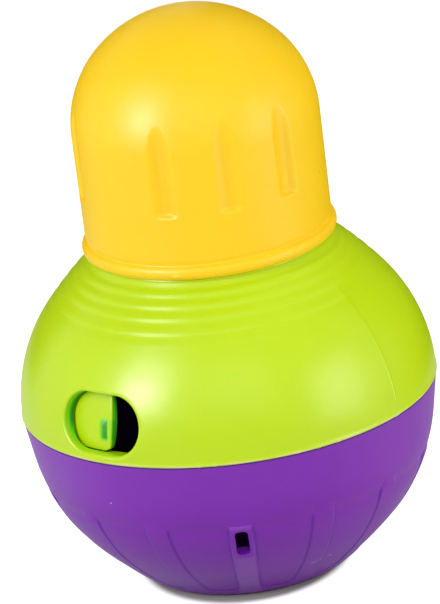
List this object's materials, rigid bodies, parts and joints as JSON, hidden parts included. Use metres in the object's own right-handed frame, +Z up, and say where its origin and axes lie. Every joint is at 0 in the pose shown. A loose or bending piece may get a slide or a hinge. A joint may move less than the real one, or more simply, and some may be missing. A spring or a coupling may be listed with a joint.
{
  "type": "wobble treat dispenser",
  "caption": "Weighted wobbling pet toy that rolls upright: screw-on dome hopper, adjustable shutter to a lower chamber, and a sliding door that sets how fast treats fall out.",
  "frame": {"origin": "centre of the foot's underside, on the floor, on the object's upright axis", "axes": "+Z up along the upright axis, -Y towards the front, from which the window with its sliding door is to the left"},
  "size_m": [0.184, 0.184, 0.255],
  "materials": {
    "purple_plastic": "satin moulded, fine texture",
    "green_plastic": "satin moulded, fine texture",
    "yellow_plastic": "satin moulded, fine texture",
    "foot_rubber": "matt soft rubber",
    "seal_silicone": "matt silicone",
    "pad_foam": "closed-cell foam",
    "cast_weight": "as cast, dark",
    "screw_steel": "zinc plated"
  },
  "bodies": {
    "base": {"lower_shell": "purple_plastic", "foot_ring": "foot_rubber", "weight_disc": "cast_weight", "weight_pad": "pad_foam", "weight_cover": "purple_plastic", "cover_screws": "screw_steel", "upper_shell": "green_plastic", "door_upper_rail": "green_plastic", "door_lower_rail": "green_plastic", "divider_plate": "green_plastic", "divider_screws": "screw_steel", "pivot_screw": "screw_steel", "pivot_washer": "screw_steel"},
    "door": {"sliding_door": "green_plastic"},
    "shutter": {"shutter_disc": "yellow_plastic"},
    "seal": {"cap_seal": "seal_silicone"},
    "dome": {"dome_cap": "yellow_plastic"}
  },
  "joints": [
    {"name": "door_slide", "type": "hinge", "parent": "base", "child": "door", "pos_m": [0, 0, 0.097], "axis": [0, 0, 1], "range_deg": [-9, 9]},
    {"name": "shutter_turn", "type": "hinge", "parent": "base", "child": "shutter", "pos_m": [0, 0, 0.155], "axis": [0, 0, 1], "range_deg": [0, 120]},
    {"name": "cap_lift", "type": "slide", "parent": "base", "child": "seal", "axis": [0, 0, 1], "range_m": [0, 0.003]},
    {"name": "cap_turn", "type": "hinge", "parent": "seal", "child": "dome", "pos_m": [0, 0, 0.155], "axis": [0, 0, 1], "range_deg": [0, 90]}
  ],
  "couplings": [
    {"joint": "cap_lift", "follows": "cap_turn", "m_per_rad": 0.0019099}
  ]
}
